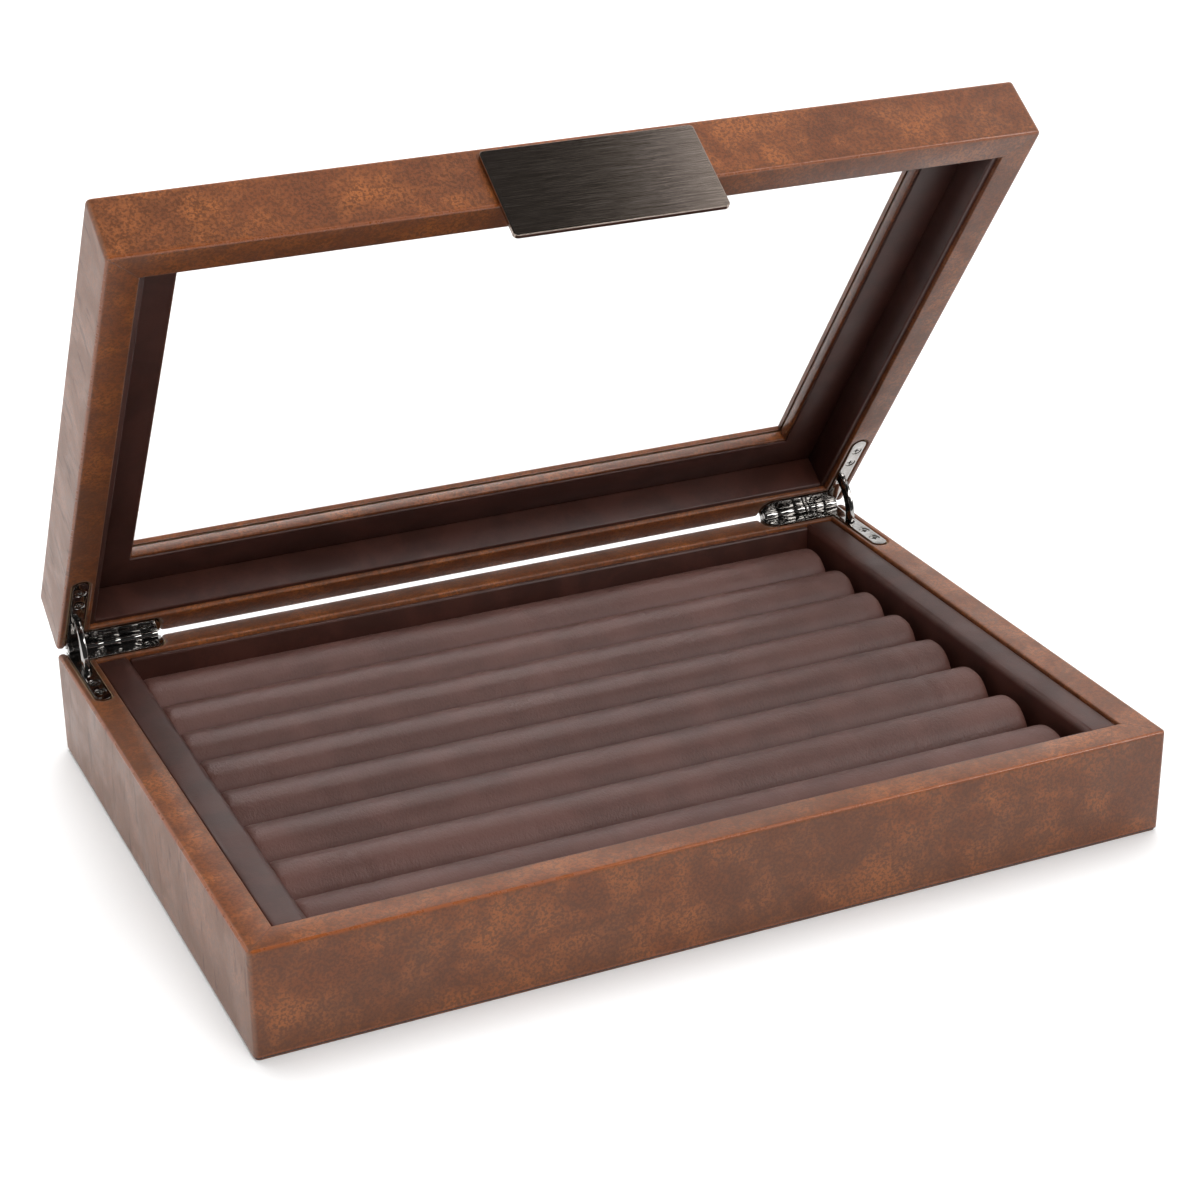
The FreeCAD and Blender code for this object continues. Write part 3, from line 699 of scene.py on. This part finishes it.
def leather_grain():
    """Pebbles for the height; specks, blotches, clouds and veins for the colour."""
    group, inside, outside = new_group(
        "leather_grain",
        [("Place", "NodeSocketVector", None), ("Cells per metre", "NodeSocketFloat", 900.0)],
        ["Height", "Speck", "Mottle", "Cloud", "Vein"])
    place = inside.outputs["Place"]
    cells = node(group, "ShaderNodeTexVoronoi", {"feature": "DISTANCE_TO_EDGE"})
    feed(group, place, cells, "Vector")
    feed(group, inside.outputs["Cells per metre"], cells, "Scale")
    pebble = remap(group, cells.outputs["Distance"], 0.0, 0.3)
    fine = noise(group, place, 3000.0, 2.0, 0.6)
    swell = noise(group, place, 260.0, 3.0, 0.55)
    height = plus(group, times(group, pebble, 0.35),
                  plus(group, times(group, fine, 0.25), times(group, swell, 0.8)))
    feed(group, height, outside, "Height")
    dots = noise(group, place, 1050.0, 3.0, 0.7)
    feed(group, remap(group, dots, 0.44, 0.57), outside, "Speck")
    stray = times(group, minus(group, dots, 0.5), 0.35)
    mottle = noise(group, place, 62.0, 5.0, 0.6, 0.5)
    feed(group, remap(group, plus(group, mottle, stray), 0.36, 0.66), outside, "Mottle")
    cloud = noise(group, place, 26.0, 3.0, 0.55, 0.8)
    feed(group, remap(group, plus(group, cloud, stray), 0.38, 0.64), outside, "Cloud")
    warp = node(group, "ShaderNodeTexNoise", None, {"Scale": ISLAND, "Detail": 3.0, "Roughness": 0.6})
    feed(group, place, warp, "Vector")
    pull = node(group, "ShaderNodeVectorMath", {"operation": "MULTIPLY_ADD"}, {1: ISLAND_PULL})
    feed(group, warp.outputs["Color"], pull, 0)
    feed(group, place, pull, 2)
    islands = node(group, "ShaderNodeTexVoronoi", {"feature": "DISTANCE_TO_EDGE"}, {"Scale": ISLAND})
    feed(group, pull.outputs["Vector"], islands, "Vector")
    vein = times(group, remap(group, islands.outputs["Distance"], 0.02, 0.22, 1.0, 0.0),
                 remap(group, cloud, 0.36, 0.6, 0.25, 1.0))
    feed(group, vein, outside, "Vein")
    return group


# %% Seams, streaks, a painted foot shadow and a side mask for the skins
def skin_lines():
    """Masks for the mitred corners, the painted shadow line over the foot, the side faces' streaks and the
    side faces, where a painted sheen goes.
    """
    group, inside, outside = new_group("skin_lines", [("Place", "NodeSocketVector", None)],
                                       ["Seam", "Painted foot shadow", "Streak", "Side"])
    place = inside.outputs["Place"]
    apart = node(group, "ShaderNodeSeparateXYZ")
    feed(group, place, apart, "Vector")
    from_side = minus(group, HALF_W, math_node(group, "ABSOLUTE", apart.outputs["X"]))
    from_end = minus(group, HALF_D, math_node(group, "ABSOLUTE", apart.outputs["Y"]))
    off_mitre = math_node(group, "ABSOLUTE", minus(group, from_side, from_end))
    on_mitre = remap(group, off_mitre, 0.12 * MM, 0.3 * MM, 1.0, 0.0)
    flat_part = remap(group, math_node(group, "MINIMUM", from_side, from_end), 0.5 * MM, 1.1 * MM)
    feed(group, times(group, on_mitre, flat_part), outside, "Seam")
    # Painted shadow: a thin band just above the foot, where the gap over the bottom board would lie in shade.
    above = remap(group, apart.outputs["Z"], 0.48 * MM, 0.56 * MM)
    below = remap(group, apart.outputs["Z"], 1.15 * MM, 1.35 * MM, 1.0, 0.0)
    feed(group, times(group, above, below), outside, "Painted foot shadow")
    upright = node(group, "ShaderNodeMapping", None, {"Scale": (1.0, 1.0, 0.2), "Rotation": (0.12, 0.0, 0.0)})
    feed(group, place, upright, "Vector")
    grain = noise(group, upright.outputs["Vector"], 260.0, 4.0, 0.65, 0.5)
    on_side = remap(group, from_side, 0.3 * MM, 1.5 * MM, 1.0, 0.0)
    # The side mask is used by the tan finishes for a painted sheen on the side faces.
    feed(group, on_side, outside, "Side")
    feed(group, times(group, remap(group, grain, 0.55, 0.65), on_side), outside, "Streak")
    return group


grain_group, lines_group = leather_grain(), skin_lines()
print("groups", [(group.name, len(group.nodes)) for group in (grain_group, lines_group)])

# %% [markdown]
# ## The finishes
# A finish starts from one Principled shader. Colour, roughness and a bump height vary over the
# surface; everything that is the same all over is typed straight into the shader.

# %% Start a finish
def new_finish(name, constants):
    finish = bpy.data.materials.new(name)
    finish.use_nodes = True
    tree = finish.node_tree
    shader = next(n for n in tree.nodes if n.type == "BSDF_PRINCIPLED")
    for label, value in constants.items():
        shader.inputs[label].default_value = value
    return finish, tree, shader


def own_place(tree):
    return node(tree, "ShaderNodeTexCoord").outputs["Object"]


def attribute(tree, name, output):
    return node(tree, "ShaderNodeAttribute", {"attribute_name": name}).outputs[output]


def add_bump(tree, shader, height, strength, distance):
    bump = node(tree, "ShaderNodeBump", None, {"Strength": strength, "Distance": distance})
    feed(tree, height, bump, "Height")
    feed(tree, bump.outputs["Normal"], shader, "Normal")


def group_node(tree, group, place, values=None):
    made = node(tree, "ShaderNodeGroup", {"node_tree": group}, values)
    feed(tree, place, made, "Place")
    return made


# %% Tan leather
TAN_DARK, TAN_LIGHT = (0.190, 0.052, 0.0130), (0.350, 0.105, 0.0230)
CLOUD_TAN, VEIN_TAN, SPECK_TAN = (0.125, 0.038, 0.0120), (0.095, 0.030, 0.0100), (0.082, 0.026, 0.0090)
# The first colour here is a painted sheen, the pale tone of leather catching light at a slant; the others are
# rubbed edges and streaks.
PAINTED_SHEEN_TAN, WORN_TAN, STREAK_TAN = (0.42, 0.26, 0.19), (0.33, 0.085, 0.019), (0.080, 0.024, 0.008)
# The second colour here is painted shade, the near-black of the shadowed gap just above the foot.
SEAM_TAN, PAINTED_FOOT_SHADOW = (0.045, 0.014, 0.006), (0.010, 0.004, 0.003)
GRAIN_BUMP = 0.1 * MM


def tan_leather(name, is_skin):
    """The two big skins remember where they were when shut, and have seams; trims do not."""
    level, duller, shinier = (0.6, 0.50, 0.40) if is_skin else (0.75, 0.36, 0.30)
    finish, tree, shader = new_finish(name, {"Specular IOR Level": level})
    place = attribute(tree, "shut_place", "Vector") if is_skin else own_place(tree)
    grain = group_node(tree, grain_group, place, {"Cells per metre": 1500.0})
    lines = group_node(tree, lines_group, place)
    mottle, seam, streak = grain.outputs["Mottle"], lines.outputs["Seam"], lines.outputs["Streak"]
    base = mix_color(tree, mottle, TAN_DARK, TAN_LIGHT)
    base = tint(tree, base, grain.outputs["Cloud"], 0.5, CLOUD_TAN)
    base = tint(tree, base, grain.outputs["Vein"], 0.4, VEIN_TAN)
    base = tint(tree, base, grain.outputs["Speck"], 0.7, SPECK_TAN)
    # Painted sheen: faces seen at a slant, and the side faces of the case, are mixed towards a pale tan in
    # place of a grazing reflection.
    facing = node(tree, "ShaderNodeLayerWeight", None, {"Blend": 0.5}).outputs["Facing"]
    painted_sheen_at_slant = remap(tree, facing, 0.38, 0.72, 0.0, 0.11)
    base = mix_color(tree, plus(tree, painted_sheen_at_slant, times(tree, lines.outputs["Side"], 0.26)), base, PAINTED_SHEEN_TAN)
    worn = remap(tree, attribute(tree, "edge", "Fac"), 0.25, 0.9)
    base = tint(tree, base, worn, 0.6, WORN_TAN)
    base = tint(tree, base, streak, 0.5, STREAK_TAN)
    if is_skin:
        base = tint(tree, base, seam, 0.4, SEAM_TAN)
    # Painted shade: the band over the foot is turned nearly black in place of the shadow in the gap.
    base = tint(tree, base, lines.outputs["Painted foot shadow"], 0.93, PAINTED_FOOT_SHADOW)
    feed(tree, base, shader, "Base Color")
    rough = remap(tree, mottle, 0.0, 1.0, duller, shinier, False)
    feed(tree, minus(tree, rough, times(tree, worn, 0.2)), shader, "Roughness")
    carved = plus(tree, times(tree, seam, 1.5 if is_skin else 0.0), times(tree, streak, 0.5))
    add_bump(tree, shader, minus(tree, grain.outputs["Height"], carved), 0.55, GRAIN_BUMP)
    return finish


# %% Dark leather
LINING_DARK, LINING_LIGHT = (0.042, 0.0138, 0.0095), (0.064, 0.0210, 0.0145)


def dark_leather(name):
    finish, tree, shader = new_finish(name, {"Specular IOR Level": 0.55})
    grain = group_node(tree, grain_group, own_place(tree), {"Cells per metre": 1700.0})
    feed(tree, mix_color(tree, grain.outputs["Mottle"], LINING_DARK, LINING_LIGHT), shader, "Base Color")
    feed(tree, remap(tree, grain.outputs["Cloud"], 0, 1, 0.44, 0.52, False), shader, "Roughness")
    add_bump(tree, shader, grain.outputs["Height"], 0.35, GRAIN_BUMP)
    return finish


skin_finish = tan_leather("tan_leather_skin", True)
trim_finish = tan_leather("tan_leather_trim", False)
lining_finish = dark_leather("dark_leather")
print("leathers", [finish.name for finish in (skin_finish, trim_finish, lining_finish)])

# %% The rolls' cover
COVER_DARK, COVER_LIGHT, COVER_PORE = (0.082, 0.0350, 0.0275), (0.112, 0.0490, 0.0390), (0.125, 0.058, 0.047)


def roll_cover():
    finish, tree, shader = new_finish("roll_cover", {"Specular IOR Level": 0.5})
    place = own_place(tree)
    squeeze = node(tree, "ShaderNodeMapping", None, {"Scale": (1.0, 0.6, 0.6)})
    feed(tree, place, squeeze, "Vector")
    puckers = noise(tree, squeeze.outputs["Vector"], 620.0, 2.0, 0.6, 0.4)
    pores = noise(tree, squeeze.outputs["Vector"], 1700.0, 2.0, 0.6, 0.3)
    shade = noise(tree, place, 55.0, 3.0, 0.55)
    base = mix_color(tree, remap(tree, shade, 0.36, 0.66), COVER_DARK, COVER_LIGHT)
    base = mix_color(tree, remap(tree, pores, 0.35, 0.7, 0.0, 0.4), base, COVER_PORE)
    feed(tree, base, shader, "Base Color")
    feed(tree, remap(tree, pores, 0.3, 0.7, 0.44, 0.56, False), shader, "Roughness")
    add_bump(tree, shader, plus(tree, times(tree, puckers, 0.35), times(tree, pores, 0.65)), 0.8, 0.35 * MM)
    return finish


cover_finish = roll_cover()

# %% Metals
NICKEL_DARK, NICKEL_LIGHT = (0.31, 0.297, 0.284), (0.39, 0.375, 0.36)
PLATE_DARK, PLATE_LIGHT, PLATE_DULL = (0.24, 0.190, 0.158), (0.42, 0.350, 0.305), (0.24, 0.20, 0.17)


def black_nickel():
    finish, tree, shader = new_finish("black_nickel", {"Metallic": 1.0})
    scuff = noise(tree, own_place(tree), 900.0, 3.0, 0.6)
    feed(tree, mix_color(tree, remap(tree, scuff, 0.4, 0.7), NICKEL_DARK, NICKEL_LIGHT), shader, "Base Color")
    feed(tree, remap(tree, scuff, 0.3, 0.75, 0.06, 0.13, False), shader, "Roughness")
    return finish


def brushed_gunmetal():
    """Fine lines along the plate, drawn out fifty times along X."""
    finish, tree, shader = new_finish("brushed_gunmetal", {"Metallic": 1.0})
    place = own_place(tree)
    stretch = node(tree, "ShaderNodeMapping", None, {"Scale": (0.02, 1.0, 1.0)})
    feed(tree, place, stretch, "Vector")
    lines = noise(tree, stretch.outputs["Vector"], 4200.0, 3.0, 0.7)
    dull = noise(tree, place, 60.0, 2.0, 0.5)
    tone = mix_color(tree, remap(tree, lines, 0.3, 0.7), PLATE_DARK, PLATE_LIGHT)
    tone = mix_color(tree, remap(tree, dull, 0.35, 0.65, 0.0, 0.15), tone, PLATE_DULL)
    feed(tree, tone, shader, "Base Color")
    feed(tree, remap(tree, lines, 0.3, 0.7, 0.11, 0.17, False), shader, "Roughness")
    add_bump(tree, shader, lines, 0.3, 0.04 * MM)
    return finish


metal_finish, plate_finish = black_nickel(), brushed_gunmetal()
print("metals", metal_finish.name, plate_finish.name)

# %% Glass, board and foam tape
CLEAR, DUSTY = (1.0, 1.0, 1.0), (0.985, 0.99, 0.988)
BOARD_DARK, BOARD_LIGHT = (0.30, 0.20, 0.12), (0.46, 0.33, 0.21)
TAPE_DARK, TAPE_LIGHT = (0.012, 0.012, 0.012), (0.03, 0.03, 0.03)


def clear_glass():
    constants = {"Transmission Weight": 1.0, "IOR": 1.45, "Roughness": 0.0}
    finish, tree, shader = new_finish("clear_glass", constants)
    dust = noise(tree, own_place(tree), 150.0, 4.0, 0.6)
    feed(tree, mix_color(tree, remap(tree, dust, 0.5, 0.9), CLEAR, DUSTY), shader, "Base Color")
    return finish


def core_board():
    finish, tree, shader = new_finish("core_board", {"Roughness": 0.85})
    fibre = noise(tree, own_place(tree), 700.0, 5.0, 0.7)
    feed(tree, mix_color(tree, fibre, BOARD_DARK, BOARD_LIGHT), shader, "Base Color")
    add_bump(tree, shader, fibre, 0.4, 0.2 * MM)
    return finish


def foam_tape():
    finish, tree, shader = new_finish("foam_tape", {"Roughness": 0.9})
    pores = noise(tree, own_place(tree), 2500.0, 2.0, 0.6)
    feed(tree, mix_color(tree, pores, TAPE_DARK, TAPE_LIGHT), shader, "Base Color")
    add_bump(tree, shader, pores, 0.5, 0.1 * MM)
    return finish


pane_finish, board_finish, tape_finish = clear_glass(), core_board(), foam_tape()

# %% Put each finish on its pieces
def paint(thing, finish):
    thing.data.materials.clear()
    thing.data.materials.append(finish)


def paint_node(name, finish):
    for slot in nodes[name].material_slots:
        slot.material = finish
    if not nodes[name].material_slots:
        nodes[name].data.materials.append(finish)


finish_of_slot = {"hinge_metal": metal_finish, "tan_leather": trim_finish, "dark_leather": lining_finish}
for skin in (base_skin, lid_skin):
    paint(skin, skin_finish)
for roll in rolls:
    paint(roll, cover_finish)
for block in ends:
    paint(block, lining_finish)
for name, piece in soft_parts.items():
    paint(piece, finish_of_slot[soft[name][1]])
for name in nodes:
    if "board_" in name or name == "bottom_board":
        paint_node(name, board_finish)
    elif name == "under_cover" or name.startswith("glazing_bead"):
        paint_node(name, trim_finish)
    elif name.startswith("insert_") or "lining" in name:
        paint_node(name, lining_finish)
    elif "hinge" in name or name.startswith("stay"):
        paint_node(name, metal_finish)
    elif name == "lid_glass":
        paint_node(name, pane_finish)
    elif name == "pull_plate":
        paint_node(name, plate_finish)
    elif name == "pull_plate_pad":
        paint_node(name, tape_finish)
print("finishes", [m.name for m in bpy.data.materials if m.users])

# %% [markdown]
# ## Floor and light
# A white sweep is lit until it is paper white, so that only a soft contact shadow is left. It
# would throw too much light up under the lid, so rays that carry diffuse light meet a greyer
# sheet. The bright far side of the room still shows in the leather and the metal.

# %% The floor
SHEET_SIDE = 60  # metres, so that its edge stays out of every view
PAPER_DARK, PAPER_LIGHT, PAPER_FOR_DIFFUSE = (0.93, 0.93, 0.93), (0.95, 0.95, 0.95), (0.31, 0.31, 0.31)
clear_selection()
bpy.ops.mesh.primitive_plane_add(size=SHEET_SIDE, location=(0, 0, 0))
floor = bpy.context.object
floor.name = "floor"
floor_finish, floor_tree, floor_shader = new_finish(
    "paper_floor", {"Roughness": 0.9, "Specular IOR Level": 0.1,
                    "Emission Color": (1, 1, 1, 1), "Emission Strength": 0.1})
paper = noise(floor_tree, own_place(floor_tree), 40.0, 2.0, 0.5)
white = mix_color(floor_tree, paper, PAPER_DARK, PAPER_LIGHT)
is_diffuse = node(floor_tree, "ShaderNodeLightPath").outputs["Is Diffuse Ray"]
feed(floor_tree, mix_color(floor_tree, is_diffuse, white, PAPER_FOR_DIFFUSE), floor_shader, "Base Color")
paint(floor, floor_finish)
print("floor", SHEET_SIDE, "m wide")

# %% The room around it
scene = bpy.context.scene
scene.view_settings.view_transform = "Standard"
world = bpy.data.worlds.new("studio")
scene.world = world
world.use_nodes = True
sky = world.node_tree
background = next(n for n in sky.nodes if n.type == "BACKGROUND")
direction = node(sky, "ShaderNodeTexCoord").outputs["Generated"]
height = node(sky, "ShaderNodeSeparateXYZ")
feed(sky, direction, height, "Vector")
bright = remap(sky, height.outputs["Z"], 0.5, 0.88, 1.0, 0.08)
toward_far = plus(sky, times(sky, height.outputs["Y"], 0.75), times(sky, height.outputs["X"], 0.5))
far_wall = remap(sky, toward_far, -0.3, 0.9, 0.05, 1.2, False)
glow = mix_color(sky, times(sky, bright, far_wall), (0.0, 0.0, 0.0), (1.0, 1.0, 1.0))
feed(sky, glow, background, "Color")
background.inputs["Strength"].default_value = 1.2
print("world", world.name, len(sky.nodes), "nodes")


# %% Suns and cards
def soft_sun(name, toward, spread, power, color=(1, 1, 1)):
    """A sun that doesn't show in shiny surfaces; its spread is in degrees."""
    data = bpy.data.lights.new(name, "SUN")
    data.angle, data.energy, data.color = math.radians(spread), power, color
    lamp = bpy.data.objects.new(name, data)
    scene.collection.objects.link(lamp)
    lamp.rotation_euler = Vector(toward).to_track_quat("-Z", "Y").to_euler()
    lamp.visible_glossy = False


def reflection_card(name, aim, toward, distance, size, power):
    """A white card that only shows in shiny surfaces."""
    data = bpy.data.lights.new(name, "AREA")
    data.shape, data.size, data.size_y, data.energy = "RECTANGLE", size[0], size[1], power
    card = bpy.data.objects.new(name, data)
    scene.collection.objects.link(card)
    card.location = Vector(aim) + Vector(toward) * distance
    card.rotation_euler = (Vector(aim) - card.location).to_track_quat("-Z", "Y").to_euler()
    card.visible_diffuse = False


soft_sun("key", (-0.12, -0.40, -1.0), 50, 2.6)
soft_sun("front", (0.0, 0.74, -0.67), 50, 2.0)
soft_sun("flank", (1.0, 0.0, 0.0), 8, 0.95, (1.0, 0.92, 0.85))
reflection_card("hinge_card", (0.128, 0.1, 0.036), (0.62, -0.62, 0.48), 1.2, (0.35, 0.5), 3.0)
reflection_card("edge_card", (0.0, -0.02, 0.2), (0.52, -0.67, 0.53), 1.3, (0.55, 0.2), 2.6)
reflection_card("plate_card", (0.03, 0.0, 0.2), (0.607, 0.06, 0.794), 1.2, (0.9, 0.5), 1.5)
